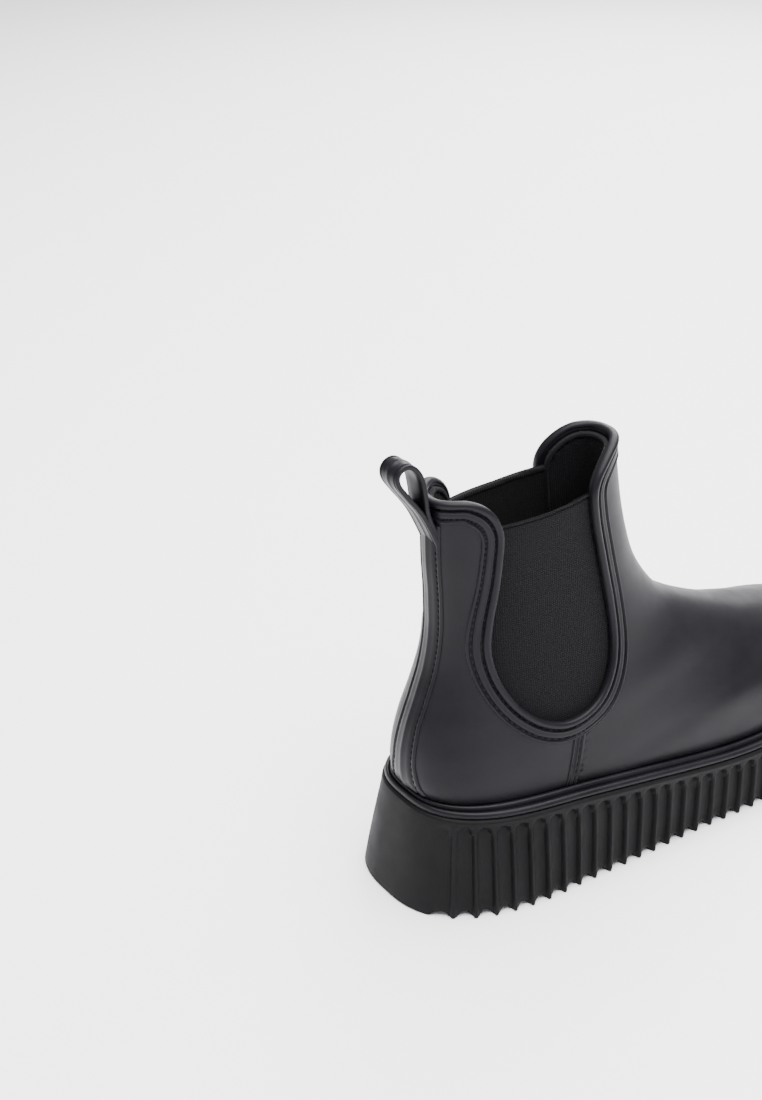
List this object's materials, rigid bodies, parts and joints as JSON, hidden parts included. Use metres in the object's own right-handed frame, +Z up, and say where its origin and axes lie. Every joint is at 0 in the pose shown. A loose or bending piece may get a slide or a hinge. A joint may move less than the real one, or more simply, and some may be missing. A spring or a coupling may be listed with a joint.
{
  "type": "rubber rain boot",
  "caption": "Ankle-height black rubber rain boot with elastic side gussets, heel pull tab and thick fluted platform sole.",
  "frame": {"origin": "on the ground under the middle of the boot's bounding box", "axes": "+X towards the toe, +Z up; the outer side of the foot faces -Y"},
  "size_m": [0.2734, 0.093, 0.1948],
  "materials": {
    "sole_rubber": "matte moulded black rubber",
    "sole_core_foam": "light moulded foam",
    "upper_rubber": "satin matte black rubber with a soft broad sheen",
    "insole_board": "pressed fibre board",
    "footbed_foam": "soft foam",
    "footbed_fabric": "flat knitted fabric",
    "elastic": "ribbed elastic webbing",
    "lining_fabric": "knitted lining",
    "thread": "sewing thread"
  },
  "bodies": {
    "boot": {"outsole": "sole_rubber", "sole_core": "sole_core_foam", "welt_bead": "upper_rubber", "insole_board": "insole_board", "footbed_foam": "footbed_foam", "footbed_cover": "footbed_fabric", "vamp": "upper_rubber", "quarter_outer": "upper_rubber", "quarter_inner": "upper_rubber", "heel_stay": "upper_rubber", "topline_band": "upper_rubber", "gusset_outer": "elastic", "gusset_inner": "elastic", "lining": "lining_fabric", "pull_tab_root": "upper_rubber", "thread_edge_row": "thread", "thread_outer_row": "thread", "thread_stay_outer": "thread", "thread_stay_inner": "thread"},
    "pull_tab_loop": {"pull_tab": "upper_rubber"}
  },
  "joints": [
    {"name": "pull_tab_flex", "type": "hinge", "parent": "boot", "child": "pull_tab_loop", "pos_m": [-0.1237, -0.00135, 0.1671], "axis": [0, -1, 0], "range_deg": [-3, 60], "stiffness_Nm_per_rad": 0.02}
  ]
}
